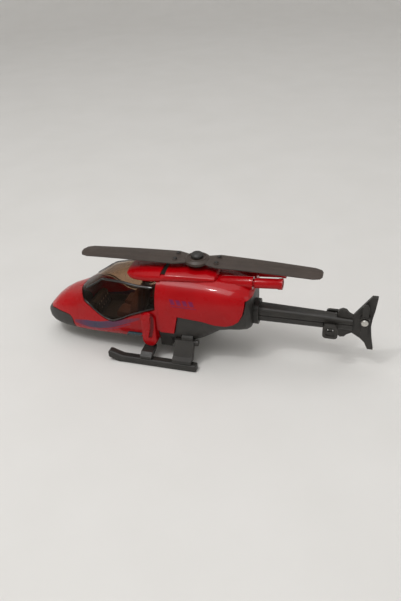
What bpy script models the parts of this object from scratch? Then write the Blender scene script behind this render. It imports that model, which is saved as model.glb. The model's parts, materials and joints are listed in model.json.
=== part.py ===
"""Die-cast toy helicopter: +X nose, +Y left, +Z up, skids on z = 0, rotor mast on x = 0.

Shapes are written in millimetres and scaled to metres when their meshes are made.
"""
import math

import bmesh
import bpy
from mathutils import Matrix, Vector

MM = 0.001
GAP = 0.3
RUNNING_CLEARANCE = 0.12
PILOT_CLEARANCE = 0.1
SMOOTH_ANGLE = math.radians(32.0)

# Fuselage stations: x, top, underside, half width
STATIONS = (
    (-23.0, 32.6, 16.4, 8.6),
    (-21.8, 34.6, 16.0, 10.6),
    (-19.0, 35.7, 16.0, 12.1),
    (-15.0, 36.3, 15.9, 12.8),
    (-11.0, 36.6, 15.0, 13.0),
    (-5.0, 36.8, 10.8, 13.0),
    (-1.5, 36.8, 8.8, 13.0),
    (4.5, 36.8, 7.6, 13.0),
    (12.0, 36.8, 6.8, 13.0),
    (18.0, 36.6, 6.3, 13.0),
    (29.0, 36.0, 6.0, 13.0),
    (38.0, 33.4, 6.0, 12.8),
    (44.0, 29.3, 6.0, 12.3),
    (50.8, 24.4, 6.0, 11.3),
    (57.5, 21.6, 6.0, 9.9),
    (61.4, 19.3, 6.2, 8.5),
    (64.4, 16.8, 6.7, 7.0),
    (66.8, 14.1, 7.6, 5.1),
    (68.4, 12.0, 8.7, 3.0),
    (69.2, 10.8, 9.8, 0.9),
)
ROOF_POWER = 2.6
BELLY_POWER = 4.0
SECTION_POINTS = 36
INNER_POINTS = 28
SHELL_WALL = 1.2
CANOPY_WALL = 0.8
PANEL_RISE = 0.7
BEYOND = 60.0

# Side outlines in x, z
CANOPY_OUTLINE = (
    (53.0, 40.0), (53.0, 22.5), (46.0, 22.5), (43.4, 21.2), (40.4, 18.7), (36.8, 16.3),
    (33.8, 15.5), (30.0, 17.0), (26.0, 19.2), (20.8, 21.5), (15.0, 23.8), (15.0, 40.0),
)
SHELL_OUTLINE = (
    (72.0, 50.0), (72.0, 13.4), (66.0, 14.2), (62.3, 15.0), (57.0, 15.0), (54.6, 14.4), (53.4, 12.8),
    (53.0, 10.0), (52.6, 7.9), (14.0, 7.9),
    (14.0, 13.9), (7.2, 13.9), (5.4, 22.3), (-5.0, 21.5), (-10.0, 20.5), (-14.0, 20.4), (-17.2, 21.4),
    (-19.2, 23.0), (-20.6, 25.6), (-21.2, 28.8), (-21.3, 31.2), (-24.0, 31.8), (-24.0, 50.0),
)
PANEL_OUTLINE = (
    (13.0, 50.0), (13.0, 13.9), (7.2, 13.9), (5.4, 22.3), (-5.0, 21.5), (-10.0, 20.5), (-14.0, 20.4),
    (-17.2, 21.4), (-19.2, 23.0), (-20.6, 25.6), (-21.2, 28.8), (-21.3, 31.2), (-24.0, 31.8), (-24.0, 50.0),
)

# The windscreen's front edge from above in x, y: curved, furthest forward in the middle
WINDSCREEN_PLAN = (
    (0.0, -20.0), (44.0, -20.0), (46.7, -10.4), (48.2, -7.8), (49.7, -4.8), (50.5, -2.0),
    (50.5, 2.0), (49.7, 4.8), (48.2, 7.8), (46.7, 10.4), (44.0, 20.0), (0.0, 20.0),
)

# Engine cowling stations: x, top, underside, half width
COWLING_STATIONS = (
    (-9.5, 37.6, 34.0, 6.0),
    (-8.6, 38.5, 34.0, 7.4),
    (-2.0, 38.8, 34.0, 8.2),
    (6.0, 38.9, 34.0, 8.8),
    (13.0, 38.7, 33.5, 9.2),
    (19.0, 38.1, 33.0, 9.2),
    (23.4, 37.5, 33.0, 8.8),
    (26.3, 37.0, 33.0, 7.8),
    (27.8, 36.5, 33.4, 6.4),
)
COWLING_POWER = 3.0

# Main rotor
MAST_RADIUS = 1.0
MAST_FOOT_RADIUS = 2.0
MAST_FOOT_Z = 33.0
MAST_TOP_Z = 44.0
BUSHING_RADIUS = 1.9
BUSHING_FLANGE_RADIUS = 3.0
BUSHING_Z = (34.8, 39.2, 40.2)
HUB_Z = (40.5, 42.6)
HUB_RADIUS = 5.2
ROTOR_RADIUS = 49.0
BLADE_Z = 41.5
BLADE_DROOP = 1.3
BLADE_ROOT_CHORD = 10.4
BLADE_TIP_CHORD = 8.2
BLADE_THICKNESS = 1.2
BLADE_START = 3.0
BLADE_ROUND_FROM = 0.95
BLADE_SECTION = (
    (0.5, -0.35), (0.5, 0.35), (0.3, 1.0), (-0.2, 1.0),
    (-0.5, 0.3), (-0.5, -0.3), (-0.2, -1.0), (0.3, -1.0),
)
CAP_Z = (42.9, 44.6)
CAP_RADIUS = 2.5

# Exhaust pipes: the axis rises slightly towards the rear
PIPE_Y = 4.3
PIPE_FRONT = (-23.8, 36.2)
PIPE_REAR = (-34.8, 37.0)
PIPE_RADIUS = 2.0
PIPE_RIM_RADIUS = 2.2
PIPE_BORE = 1.5
PIPE_TENON_RADIUS = 1.5
PIPE_TENON_LENGTH = 5.6
PIPE_SOCKET_X = (-17.2, -24.0)
PIPE_BORE_DEPTH = 7.0
PIPE_RIM_LENGTH = 1.6
PIPE_BOSS = ((-8.0, 1.2), (-12.0, 2.6), (-23.4, 2.6))

# Tail
BOOM_STATIONS = (
    (-19.0, 24.3, 17.2, 3.2),
    (-24.0, 24.2, 17.3, 3.2),
    (-50.0, 23.6, 17.4, 2.7),
    (-58.0, 22.9, 17.5, 2.4),
    (-61.5, 22.7, 17.5, 2.2),
)
BOOM_POWER = 3.2
BOOM_POINTS = 24
BOOM_SEAM_Z = 20.6
BOOM_WALL = 0.9
BOOM_HOLLOW_X = (-50.0, -15.0)
BOOM_END_X = -80.0
BOOM_POST_RADIUS = 1.7
COLLAR_X = (-25.2, -22.0)
COLLAR_RISE = 1.3
BOOM_SCREW_X = (-31.0, -46.0)
BOOM_SCREW_Z = (17.7, 22.4)
BOOM_SCREW_RADII = (1.2, 0.6)
BOOM_SCREW_HEAD = 0.7
FIN_OUTLINE = (
    (-55.6, 24.4), (-56.0, 25.6), (-57.3, 26.3), (-58.8, 26.0), (-60.0, 24.6), (-61.4, 23.9), (-62.2, 25.2),
    (-66.4, 31.2), (-67.8, 33.2), (-70.0, 33.2), (-69.4, 27.5), (-68.7, 23.5), (-68.4, 19.5),
    (-69.0, 14.5), (-70.0, 9.4), (-67.8, 9.4), (-66.4, 12.4), (-64.6, 14.2), (-61.4, 16.2),
    (-59.6, 15.2), (-58.6, 14.0), (-57.0, 13.7), (-55.8, 14.6), (-55.6, 16.0),
)
FIN_HALF_THICKNESS = 0.9
STABILIZER_X = (-55.2, -50.8)
STABILIZER_Z = (19.2, 20.5)
STABILIZER_HALF_SPAN = 4.7
TENON_X = (-54.4, -52.8)
END_PLATE_Y = (5.0, 6.3)
END_PLATE_CENTRE = (-53.6, 18.9)
END_PLATE_HALF = 2.9
END_PLATE_CORNER = 1.4
END_PLATE_RIM = 1.1
END_PLATE_RECESS = 0.4
TAIL_ROTOR_AXIS = (-66.0, 23.8)
TAIL_ROTOR_Y = (1.25, 3.95)
TAIL_BLADE_Y = (2.85, 3.65)
TAIL_HUB_RADIUS = 1.9
TAIL_BLADE_OUTLINE = (
    (-0.9, 0.8), (-1.2, 2.6), (-1.2, 6.2), (-0.6, 7.4), (0.6, 7.4), (1.2, 6.2), (1.2, 2.6), (0.9, 0.8),
)
TAIL_PIN_RADIUS = 0.6
TAIL_PIN_HEAD = (1.1, 1.4)
TAIL_PIN_START_Y = -1.9

# Landing gear
SKID_Y = 17.5
SKID_HALF_WIDTH = 1.6
SKID_OUTLINE = ((-3.0, 0.0), (30.4, 0.0), (34.9, 1.7), (34.9, 4.4), (33.8, 5.0), (28.6, 3.2), (-3.0, 3.2))
FRONT_STRUT_X = (15.8, 20.6)
FRONT_FOOT_OUTLINE = ((19.1, 3.5), (19.1, 4.5), (17.3, 5.9), (11.6, 5.9), (11.6, 4.7), (14.8, 3.5))
FRONT_ROOT_X = (16.5, 19.9)
FRONT_ROOT_OUTLINE = ((14.0, 5.2), (13.4, 8.4), (11.2, 12.0), (9.5, 10.9), (11.1, 8.1), (11.8, 5.2))
REAR_STRUT_X = (-1.0, 7.0)
REAR_FOOT_OUTLINE = ((19.1, 3.5), (19.1, 4.9), (17.2, 5.6), (13.4, 11.0), (10.4, 11.0), (15.2, 3.5))
REAR_ROOT_X = (-0.4, 4.3)
REAR_ROOT_OUTLINE = ((13.2, 10.4), (12.9, 12.2), (10.4, 15.2), (8.9, 14.0), (11.0, 10.4))
STRUT_KNOB = (12.9, 10.4)
STRUT_KNOB_PROFILE = ((0.7, 0.5), (0.7, -0.7), (1.3, -0.7), (1.3, -1.8))
FOOT_PEG_RADIUS = 0.9
FOOT_PEG_Z = (1.3, 3.9)
BELLY_BLOCK = ((8.9, 13.6), (8.0, 11.9), (6.5, 12.2))
FAIRING_X = (14.6, 21.0)
FAIRING_Z = (6.3, 22.6)
FAIRING_Y = (9.5, 14.3)

# Cockpit
TUB_PLAN = ((15.6, -8.8), (36.0, -8.8), (50.0, -7.6), (50.0, 7.6), (36.0, 8.8), (15.6, 8.8))
TUB_WALL = 1.0
TUB_Z = (11.2, 15.0)
TUB_FOOT_RADIUS = 1.5
TUB_FOOT_X = (24.5, 44.0)
TUB_FOOT_Y = 4.0
TUB_FOOT_Z = 7.6
BULKHEAD_X = (15.6, 16.8)
BULKHEAD_OUTLINE = ((-8.6, 12.0), (8.6, 12.0), (8.6, 28.5), (6.2, 31.0), (-6.2, 31.0), (-8.6, 28.5))
DASH_OUTLINE = ((42.4, 12.5), (47.8, 12.5), (48.2, 17.2), (45.4, 19.4), (43.6, 18.8))
DASH_HALF_WIDTH = 6.0
SEAT_OUTLINE = (
    (34.2, 12.5), (34.2, 16.6), (33.2, 17.6), (28.6, 16.9), (26.0, 25.6), (24.6, 28.2), (23.4, 27.4),
    (24.4, 17.2), (25.4, 12.5),
)
SEAT_Y = 4.4
SEAT_HALF_WIDTH = 3.2

# Screws
SCREW_X = (10.5, 59.0)
SCREW_HEAD_RADIUS = 1.9
SCREW_BOSS_RADIUS = 3.2
SCREW_BELLY_Z = (6.9, 6.1)
SCREW_SHANK_RADIUS = 0.9
SCREW_END_Z = 15.5
PILOT_END_Z = 16.0
COUNTERBORE_DEPTH = 2.0
CROSS_HALF = (1.2, 0.25)
CROSS_DEPTH = 0.6
POST_RADIUS = 2.3
POST_END_Z = 10.4

# Material: colour, roughness, metallic
MATERIALS = {
    "red_enamel": ((0.42, 0.005, 0.012), 0.22, 0.1),
    "red_plastic": ((0.42, 0.005, 0.012), 0.28, 0.0),
    "smoked_canopy": ((0.06, 0.035, 0.028), 0.08, 0.0),
    "black_plastic": ((0.026, 0.023, 0.020), 0.5, 0.0),
    "brown_plastic": ((0.085, 0.036, 0.020), 0.6, 0.0),
    "steel": ((0.55, 0.54, 0.52), 0.35, 1.0),
}


def clear_scene():
    for obj in list(bpy.data.objects):
        bpy.data.objects.remove(obj, do_unlink=True)


def material(name):
    colour, roughness, metallic = MATERIALS[name]
    made = bpy.data.materials.get(name)
    if made is None:
        made = bpy.data.materials.new(name)
        made.use_nodes = True
        made.diffuse_color = (*colour, 1.0)
        shader = made.node_tree.nodes["Principled BSDF"]
        shader.inputs["Base Color"].default_value = (*colour, 1.0)
        shader.inputs["Roughness"].default_value = roughness
        shader.inputs["Metallic"].default_value = metallic
    return made


def object_from(name, points, faces):
    """Make an object from points in millimetres, with its faces turned outwards."""
    mesh = bpy.data.meshes.new(name)
    mesh.from_pydata([tuple(MM * value for value in point) for point in points], [], faces)
    work = bmesh.new()
    work.from_mesh(mesh)
    bmesh.ops.recalc_face_normals(work, faces=work.faces)
    work.to_mesh(mesh)
    work.free()
    obj = bpy.data.objects.new(name, mesh)
    bpy.context.collection.objects.link(obj)
    return obj


def loft(name, loops):
    """Skin a closed solid over loops of equal length, with flat ends."""
    count = len(loops[0])
    points = [point for loop in loops for point in loop]
    faces = [tuple(range(count)), tuple(len(points) - count + i for i in range(count))]
    for ring in range(len(loops) - 1):
        for i in range(count):
            j = (i + 1) % count
            low = ring * count
            faces.append((low + i, low + j, low + count + j, low + count + i))
    return object_from(name, points, faces)


def prism(name, outline, axis, start, end):
    """Extrude an outline along x, y or z from start to end."""
    place = {
        "x": lambda a, b, t: (t, a, b),
        "y": lambda a, b, t: (a, t, b),
        "z": lambda a, b, t: (a, b, t),
    }[axis]
    return loft(name, [[place(a, b, t) for a, b in outline] for t in (start, end)])


def box(name, x, y, z):
    return prism(name, ((x[0], y[0]), (x[1], y[0]), (x[1], y[1]), (x[0], y[1])), "z", z[0], z[1])


def turned(name, profile, centre, axis="z", count=24):
    """Turn a profile of radius, height points about an axis through centre."""
    loops = []
    for radius, height in profile:
        loop = []
        for i in range(count):
            angle = math.tau * i / count
            a = radius * math.cos(angle)
            b = radius * math.sin(angle)
            offset = {"x": (height, a, b), "y": (a, height, b), "z": (a, b, height)}[axis]
            loop.append(tuple(c + o for c, o in zip(centre, offset)))
        loops.append(loop)
    return loft(name, loops)


def apply_modifiers(obj):
    graph = bpy.context.evaluated_depsgraph_get()
    mesh = bpy.data.meshes.new_from_object(obj.evaluated_get(graph))
    obj.modifiers.clear()
    obj.data = mesh


def combine(obj, tool, operation):
    modifier = obj.modifiers.new(operation.lower(), "BOOLEAN")
    modifier.operation = operation
    modifier.solver = "EXACT"
    modifier.object = tool
    apply_modifiers(obj)
    bpy.data.objects.remove(tool, do_unlink=True)
    return obj


def cut(obj, tool):
    return combine(obj, tool, "DIFFERENCE")


def keep(obj, tool):
    return combine(obj, tool, "INTERSECT")


def add(obj, tool):
    return combine(obj, tool, "UNION")


def bevel(obj, width, segments=2, angle=40.0):
    modifier = obj.modifiers.new("bevel", "BEVEL")
    modifier.width = width * MM
    modifier.segments = segments
    modifier.limit_method = "ANGLE"
    modifier.angle_limit = math.radians(angle)
    apply_modifiers(obj)
    return obj


def finish(obj, name, made_of):
    obj.name = name
    obj.data.name = name
    obj.data.materials.clear()
    obj.data.materials.append(material(made_of))
    obj.data.shade_smooth()
    obj.data.set_sharp_from_angle(angle=SMOOTH_ANGLE)
    return obj


def turn_about(obj, point):
    """Put an object's origin at a point on its joint's axis, leaving its surface in place."""
    place = Vector([MM * value for value in point])
    obj.data.transform(Matrix.Translation(-place))
    obj.location = place


def grown(outline, distance):
    """Move every side of an outline outwards by distance."""
    count = len(outline)
    area = sum(
        outline[i][0] * outline[(i + 1) % count][1] - outline[(i + 1) % count][0] * outline[i][1]
        for i in range(count)
    )
    side = 1.0 if area > 0 else -1.0
    moved = []
    for i in range(count):
        before, here, after = outline[i - 1], outline[i], outline[(i + 1) % count]
        normals = []
        for a, b in ((before, here), (here, after)):
            length = math.dist(a, b)
            normals.append((side * (b[1] - a[1]) / length, side * (a[0] - b[0]) / length))
        (nx, ny), (mx, my) = normals
        scale = distance / (1.0 + nx * mx + ny * my)
        moved.append((here[0] + scale * (nx + mx), here[1] + scale * (ny + my)))
    return moved


def section(x, top, low, half_width, roof_power, belly_power, count):
    """A rounded section across x: fuller below its waist than above."""
    waist = 0.5 * (top + low)
    reach = 0.5 * (top - low)
    loop = []
    for i in range(count):
        angle = math.tau * (i + 0.5) / count
        power = roof_power if math.sin(angle) > 0 else belly_power
        y = half_width * math.copysign(abs(math.cos(angle)) ** (2 / power), math.cos(angle))
        z = reach * math.copysign(abs(math.sin(angle)) ** (2 / power), math.sin(angle))
        loop.append((x, y, waist + z))
    return loop


def skin(name, stations, inset, roof_power, belly_power, count):
    """Loft through stations, moved inwards by inset on every side."""
    first, last = stations[0][0], stations[-1][0]
    middle = 0.5 * (first + last)
    shrink = 1.0 - inset / abs(last - middle)
    loops = []
    for x, top, low, half_width in stations:
        tall = max(top - low - 2 * inset, 0.3)
        waist = 0.5 * (top + low)
        loops.append(
            section(
                middle + (x - middle) * shrink, waist + 0.5 * tall, waist - 0.5 * tall,
                max(half_width - inset, 0.2), roof_power, belly_power, count,
            )
        )
    return loft(name, loops)


def fuselage(inset, count=SECTION_POINTS):
    return skin("fuselage", STATIONS, inset, ROOF_POWER, BELLY_POWER, count)


def boom(inset):
    return skin("boom", BOOM_STATIONS, inset, BOOM_POWER, BOOM_POWER, BOOM_POINTS)


def window(spread):
    """The space that the canopy fills, with every side moved outwards by spread."""
    side = prism("side", grown(CANOPY_OUTLINE, spread), "y", -BEYOND, BEYOND)
    return keep(side, prism("plan", grown(WINDSCREEN_PLAN, spread), "z", 0, BEYOND))


def engine_panel(inset, spread):
    """The engine bay's sides and roof, standing proud of the cabin's surface."""
    panel = fuselage(inset)
    return keep(panel, prism("side", grown(PANEL_OUTLINE, spread), "y", -BEYOND, BEYOND))


def pipe_point(x):
    share = (x - PIPE_FRONT[0]) / (PIPE_REAR[0] - PIPE_FRONT[0])
    return PIPE_FRONT[1] + share * (PIPE_REAR[1] - PIPE_FRONT[1])


def pipe_loops(profile, side, count=24):
    loops = []
    for x, radius in profile:
        angles = [math.tau * i / count for i in range(count)]
        loops.append([
            (x, side * PIPE_Y + radius * math.cos(a), pipe_point(x) + radius * math.sin(a)) for a in angles
        ])
    return loops


def body_shell():
    shell = fuselage(0.0)
    add(shell, engine_panel(-PANEL_RISE, 0.0))
    for side in (1, -1):
        add(shell, loft("boss", pipe_loops(PIPE_BOSS, side)))
    keep(shell, prism("side", SHELL_OUTLINE, "y", -BEYOND, BEYOND))
    cut(shell, window(GAP))
    cut(shell, fuselage(SHELL_WALL, INNER_POINTS))
    pilot = SCREW_SHANK_RADIUS + PILOT_CLEARANCE
    for x in SCREW_X:
        post = turned("post", ((POST_RADIUS, POST_END_Z), (POST_RADIUS, BEYOND)), (x, 0, 0))
        add(shell, keep(post, fuselage(0.5 * SHELL_WALL)))
        cut(shell, turned("pilot", ((pilot, 0.0), (pilot, PILOT_END_Z)), (x, 0, 0), count=16))
    hole = BUSHING_RADIUS + GAP
    cut(shell, turned("hole", ((hole, MAST_FOOT_Z), (hole, BEYOND)), (0, 0, 0)))
    for side in (1, -1):
        cut(shell, strut_solid(FRONT_ROOT_OUTLINE, FRONT_ROOT_X, side, GAP))
        socket = PIPE_TENON_RADIUS + GAP
        cut(shell, loft("socket", pipe_loops([(x, socket) for x in PIPE_SOCKET_X], side)))
    return finish(shell, "body_shell", "red_enamel")


def engine_cowling():
    cowling = skin("cowling", COWLING_STATIONS, 0.0, COWLING_POWER, COWLING_POWER, INNER_POINTS)
    cut(cowling, fuselage(-GAP))
    cut(cowling, engine_panel(-PANEL_RISE - GAP, GAP))
    hole = BUSHING_RADIUS + GAP
    cut(cowling, turned("hole", ((hole, 0.0), (hole, BEYOND)), (0, 0, 0)))
    return finish(cowling, "engine_cowling", "red_enamel")


def exhaust(side, name):
    front, rear = PIPE_FRONT[0], PIPE_REAR[0]
    rim = rear + PIPE_RIM_LENGTH
    profile = (
        (front + PIPE_TENON_LENGTH, PIPE_TENON_RADIUS), (front - GAP, PIPE_TENON_RADIUS),
        (front - GAP, PIPE_RADIUS), (rim + 0.4, PIPE_RADIUS),
        (rim, PIPE_RIM_RADIUS), (rear, PIPE_RIM_RADIUS),
    )
    pipe = loft(name, pipe_loops(profile, side))
    bore = ((rear + PIPE_BORE_DEPTH, PIPE_BORE), (rear - 1.0, PIPE_BORE))
    cut(pipe, loft("bore", pipe_loops(bore, side)))
    return finish(pipe, name, "red_plastic")


def canopy():
    glazing = fuselage(0.0)
    keep(glazing, window(0.0))
    cut(glazing, fuselage(CANOPY_WALL, INNER_POINTS))
    return finish(glazing, "canopy", "smoked_canopy")


def cockpit_tub():
    low, rim = TUB_Z
    tub = prism("tub", TUB_PLAN, "z", low, rim)
    cut(tub, prism("well", grown(TUB_PLAN, -TUB_WALL), "z", low + TUB_WALL, BEYOND))
    add(tub, prism("bulkhead", BULKHEAD_OUTLINE, "x", *BULKHEAD_X))
    foot = ((TUB_FOOT_RADIUS, TUB_FOOT_Z), (TUB_FOOT_RADIUS, low + 0.5 * TUB_WALL))
    for x in TUB_FOOT_X:
        for y in (-TUB_FOOT_Y, TUB_FOOT_Y):
            add(tub, turned("foot", foot, (x, y, 0), count=16))
    return finish(tub, "cockpit_tub", "black_plastic")


def instrument_panel():
    panel = bevel(prism("panel", DASH_OUTLINE, "y", -DASH_HALF_WIDTH, DASH_HALF_WIDTH), 0.5)
    return finish(panel, "instrument_panel", "black_plastic")


def seat(side, name):
    middle = side * SEAT_Y
    chair = prism(name, SEAT_OUTLINE, "y", middle - SEAT_HALF_WIDTH, middle + SEAT_HALF_WIDTH)
    return finish(bevel(chair, 0.6), name, "brown_plastic")


def chassis():
    tray = fuselage(0.0)
    for side in (1, -1):
        x, y, z = BELLY_BLOCK
        add(tray, box("block", x, sorted((side * y[0], side * y[1])), z))
    add(tray, keep(boom(-COLLAR_RISE), box("slice", COLLAR_X, (-BEYOND, BEYOND), (0, BEYOND))))
    cut(tray, prism("side", grown(SHELL_OUTLINE, GAP), "y", -BEYOND, BEYOND))
    cut(tray, fuselage(SHELL_WALL, INNER_POINTS))
    cut(tray, boom(-GAP))
    for x, belly in zip(SCREW_X, SCREW_BELLY_Z):
        boss = ((SCREW_BOSS_RADIUS, belly + 0.25 * SHELL_WALL), (SCREW_BOSS_RADIUS, POST_END_Z - GAP))
        add(tray, turned("boss", boss, (x, 0, 0)))
        shank, head = SCREW_SHANK_RADIUS + GAP, SCREW_HEAD_RADIUS + GAP
        step = belly + COUNTERBORE_DEPTH
        hole = ((head, 0.0), (head, step), (shank, step), (shank, POST_END_Z + 1.0))
        cut(tray, turned("hole", hole, (x, 0, 0), count=16))
    for side in (1, -1):
        slot = strut_solid(REAR_FOOT_OUTLINE, REAR_STRUT_X, side, GAP)
        cut(tray, add(slot, strut_solid(REAR_ROOT_OUTLINE, REAR_ROOT_X, side, GAP)))
    return finish(tray, "chassis", "black_plastic")


def tail_boom(name, z):
    across = (-BEYOND, BEYOND)
    half = keep(boom(0.0), box("half", (BOOM_END_X, 0), across, z))
    cut(half, keep(boom(BOOM_WALL), box("hollow", BOOM_HOLLOW_X, across, (0, BEYOND))))
    slot = FIN_HALF_THICKNESS + GAP
    cut(half, box("fin_slot", (BOOM_END_X, FIN_OUTLINE[0][0] + GAP), (-slot, slot), (0, BEYOND)))
    cut(half, box("bar_slot", (STABILIZER_X[0] - GAP, STABILIZER_X[1] + GAP), across,
                  (STABILIZER_Z[0] - GAP, STABILIZER_Z[1] + GAP)))
    low, high = BOOM_SCREW_Z
    head, shank = BOOM_SCREW_RADII
    step = low + BOOM_SCREW_HEAD + GAP
    hole = ((head + GAP, 0.0), (head + GAP, step), (shank + GAP, step), (shank + GAP, high + GAP))
    for x in BOOM_SCREW_X:
        post = turned("post", ((BOOM_POST_RADIUS, 0.0), (BOOM_POST_RADIUS, BEYOND)), (x, 0, 0), count=16)
        keep(post, boom(0.5 * BOOM_WALL))
        add(half, keep(post, box("half", (BOOM_END_X, 0), across, z)))
        cut(half, turned("hole", hole, (x, 0, 0), count=16))
    return finish(half, name, "black_plastic")


def boom_screw(name, x):
    low, high = BOOM_SCREW_Z
    head, shank = BOOM_SCREW_RADII
    step = low + BOOM_SCREW_HEAD
    profile = ((head - 0.3, low), (head, low + 0.3), (head, step), (shank, step), (shank, high))
    return finish(turned(name, profile, (x, 0, 0), count=16), name, "steel")


def tail_fin():
    fin = prism("fin", FIN_OUTLINE, "y", -FIN_HALF_THICKNESS, FIN_HALF_THICKNESS)
    x, z = TAIL_ROTOR_AXIS
    hole = TAIL_PIN_RADIUS + GAP
    cut(fin, turned("hole", ((hole, -BEYOND), (hole, BEYOND)), (x, 0, z), "y", 16))
    return finish(fin, "tail_fin", "black_plastic")


def stabilizer():
    bar = box("bar", STABILIZER_X, (-STABILIZER_HALF_SPAN, STABILIZER_HALF_SPAN), STABILIZER_Z)
    add(bar, box("tenon", TENON_X, (-END_PLATE_Y[1] + 0.4, END_PLATE_Y[1] - 0.4), STABILIZER_Z))
    return finish(bar, "stabilizer", "black_plastic")


def rounded_square(centre, half, radius, steps=5):
    points = []
    for corner, (sx, sz) in enumerate(((1, 1), (-1, 1), (-1, -1), (1, -1))):
        for i in range(steps + 1):
            angle = math.pi / 2 * (corner + i / steps)
            points.append((
                centre[0] + sx * (half - radius) + radius * math.cos(angle),
                centre[1] + sz * (half - radius) + radius * math.sin(angle),
            ))
    return points


def end_plate(side, name):
    inner, outer = END_PLATE_Y
    outline = rounded_square(END_PLATE_CENTRE, END_PLATE_HALF, END_PLATE_CORNER)
    plate = prism(name, outline, "y", side * inner, side * outer)
    recess = rounded_square(END_PLATE_CENTRE, END_PLATE_HALF - END_PLATE_RIM, 0.5 * END_PLATE_CORNER)
    cut(plate, prism("recess", recess, "y", side * (outer - END_PLATE_RECESS), side * (outer + 1)))
    cut(plate, box("slot", (TENON_X[0] - GAP, TENON_X[1] + GAP),
                   sorted((side * (inner - 1), side * (outer + 1))),
                   (STABILIZER_Z[0] - GAP, STABILIZER_Z[1] + GAP)))
    return finish(plate, name, "black_plastic")


def blade(side):
    """One main blade along side * x: rounded tip, a slight droop towards it."""
    loops = []
    for share in (0.0, 0.12, 0.35, 0.6, 0.8, 0.93, 0.985, 1.0):
        reach = BLADE_START + share * (ROTOR_RADIUS - BLADE_START)
        chord = BLADE_ROOT_CHORD + share * (BLADE_TIP_CHORD - BLADE_ROOT_CHORD)
        if share == 0.0:
            chord *= 0.6
        if share > BLADE_ROUND_FROM:
            past = (share - BLADE_ROUND_FROM) / (1.0 - BLADE_ROUND_FROM)
            chord *= math.sqrt(1.0 - 0.8 * past ** 2)
        level = BLADE_Z - BLADE_DROOP * (reach / ROTOR_RADIUS) ** 2
        half = 0.5 * BLADE_THICKNESS
        loops.append([(side * reach, side * a * chord, level + b * half) for a, b in BLADE_SECTION])
    return loft("blade", loops)


def main_rotor():
    rotor = turned("rotor", ((4.6, HUB_Z[0]), (HUB_RADIUS, HUB_Z[0] + 0.5), (HUB_RADIUS, HUB_Z[1] - 0.7),
                             (4.2, HUB_Z[1])), (0, 0, 0), count=32)
    for side in (1, -1):
        add(rotor, blade(side))
    bore = MAST_RADIUS + RUNNING_CLEARANCE
    cut(rotor, turned("bore", ((bore, 0.0), (bore, BEYOND)), (0, 0, 0)))
    turn_about(rotor, (0, 0, BLADE_Z))
    return finish(rotor, "main_rotor", "black_plastic")


def rotor_mast():
    step = MAST_FOOT_Z + 1.0
    profile = (
        (MAST_FOOT_RADIUS, MAST_FOOT_Z), (MAST_FOOT_RADIUS, step),
        (MAST_RADIUS, step), (MAST_RADIUS, MAST_TOP_Z),
    )
    return finish(turned("mast", profile, (0, 0, 0)), "rotor_mast", "steel")


def mast_bushing():
    low, step, high = BUSHING_Z
    profile = ((BUSHING_RADIUS, low), (BUSHING_RADIUS, step), (BUSHING_FLANGE_RADIUS, step),
               (BUSHING_FLANGE_RADIUS, high))
    bushing = turned("bushing", profile, (0, 0, 0))
    bore = MAST_RADIUS + RUNNING_CLEARANCE
    cut(bushing, turned("bore", ((bore, low - 1), (bore, high + 1)), (0, 0, 0)))
    return finish(bushing, "mast_bushing", "black_plastic")


def rotor_cap():
    low, high = CAP_Z
    dome = ((CAP_RADIUS, low), (CAP_RADIUS, low + 0.8), (CAP_RADIUS - 0.4, high - 0.4), (1.2, high))
    cap = turned("cap", dome, (0, 0, 0))
    bore = MAST_RADIUS + RUNNING_CLEARANCE
    cut(cap, turned("bore", ((bore, low - 1), (bore, MAST_TOP_Z + RUNNING_CLEARANCE)), (0, 0, 0)))
    return finish(cap, "rotor_cap", "black_plastic")


def tail_rotor():
    x, z = TAIL_ROTOR_AXIS
    inner, outer = TAIL_ROTOR_Y
    rotor = turned("rotor", ((TAIL_HUB_RADIUS, inner), (TAIL_HUB_RADIUS, outer)), (x, 0, z), "y", 20)
    for side in (1, -1):
        placed = [(x + side * a, z + side * b) for a, b in TAIL_BLADE_OUTLINE]
        add(rotor, prism("blade", placed, "y", *TAIL_BLADE_Y))
    bore = TAIL_PIN_RADIUS + RUNNING_CLEARANCE
    cut(rotor, turned("bore", ((bore, inner - 1.0), (bore, outer + 1.0)), (x, 0, z), "y", 16))
    turn_about(rotor, (x, sum(TAIL_BLADE_Y) / 2, z))
    return finish(rotor, "tail_rotor", "black_plastic")


def tail_rotor_pin():
    x, z = TAIL_ROTOR_AXIS
    start, end = TAIL_PIN_START_Y, TAIL_ROTOR_Y[1] + GAP
    face, head = TAIL_PIN_HEAD
    shank = TAIL_PIN_RADIUS
    profile = (
        (face, start), (head, start + 0.3), (head, start + 0.7), (shank, start + 0.7), (shank, end),
        (head, end), (head, end + 0.4), (face, end + 0.7),
    )
    return finish(turned("pin", profile, (x, 0, z), "y", 16), "tail_rotor_pin",
                  "steel")


def strut_solid(outline, x, side, spread):
    placed = [(side * y, z) for y, z in grown(outline, spread)]
    return prism("strut", placed, "x", x[0] - spread, x[1] + spread)


def foot_peg(x, side):
    low, high = FOOT_PEG_Z
    profile = ((FOOT_PEG_RADIUS, low), (FOOT_PEG_RADIUS, high))
    return turned("peg", profile, (0.5 * (x[0] + x[1]), side * SKID_Y, 0), count=16)


def front_strut(side, name):
    leg = strut_solid(FRONT_FOOT_OUTLINE, FRONT_STRUT_X, side, 0.0)
    add(leg, strut_solid(FRONT_ROOT_OUTLINE, FRONT_ROOT_X, side, 0.0))
    add(leg, foot_peg(FRONT_STRUT_X, side))
    return finish(leg, name, "black_plastic")


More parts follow.
